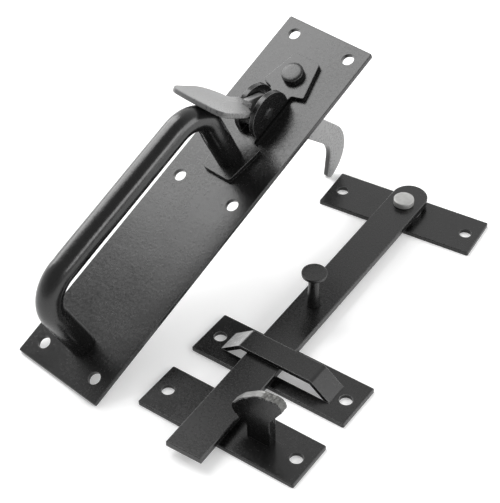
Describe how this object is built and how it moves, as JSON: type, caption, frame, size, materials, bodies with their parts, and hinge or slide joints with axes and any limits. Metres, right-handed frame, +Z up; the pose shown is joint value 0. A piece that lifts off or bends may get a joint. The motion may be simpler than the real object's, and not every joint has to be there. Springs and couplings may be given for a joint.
{
  "type": "suffolk latch",
  "caption": "Black iron thumb latch set: pull handle on a tall face plate with a hooked thumb lever, swinging latch bar on its pivot plate, guide staple and hooked keep.",
  "frame": {"origin": "centre of the pivot plate's back face, under the bar's pivot rivet, on the table", "axes": "+Z up off the table, +X across the face plate, +Y up its slope towards its top; the bar points roughly along -Y"},
  "size_m": [0.1428, 0.2148, 0.0998],
  "materials": {
    "face_black": "satin black paint on flat steel",
    "bracket_black": "satin black paint on pressed steel",
    "grip_black": "semi-gloss black paint on round bar",
    "lever_black": "satin black paint on flat steel",
    "plate_black": "satin black paint on strip steel",
    "bar_black": "satin black paint on bar steel",
    "keep_black": "semi-gloss black paint, sheared edge left rough",
    "rivet_steel": "bare worked steel"
  },
  "bodies": {
    "fixed_set": {"pivot_plate": "plate_black", "pivot_washer": "plate_black", "pivot_rivet": "rivet_steel", "staple": "plate_black", "keep_plate": "plate_black", "keep_hook": "keep_black", "face_plate": "face_black", "thumb_bracket": "bracket_black", "bracket_rivet": "bracket_black", "grip_handle": "grip_black", "lever_pin": "bracket_black"},
    "lever": {"thumb_lever": "lever_black", "thumb_press": "lever_black"},
    "bar": {"latch_bar": "bar_black", "bar_knob": "bar_black"}
  },
  "joints": [
    {"name": "lever_rock", "type": "hinge", "parent": "fixed_set", "child": "lever", "pos_m": [-0.0461, -0.05504, 0.07363], "axis": [1, 0, 0], "range_deg": [-25, 0]},
    {"name": "bar_swing", "type": "hinge", "parent": "fixed_set", "child": "bar", "pos_m": [0, 0, 0.005], "axis": [0, 0, 1], "range_deg": [-1.3, 1.9]}
  ]
}
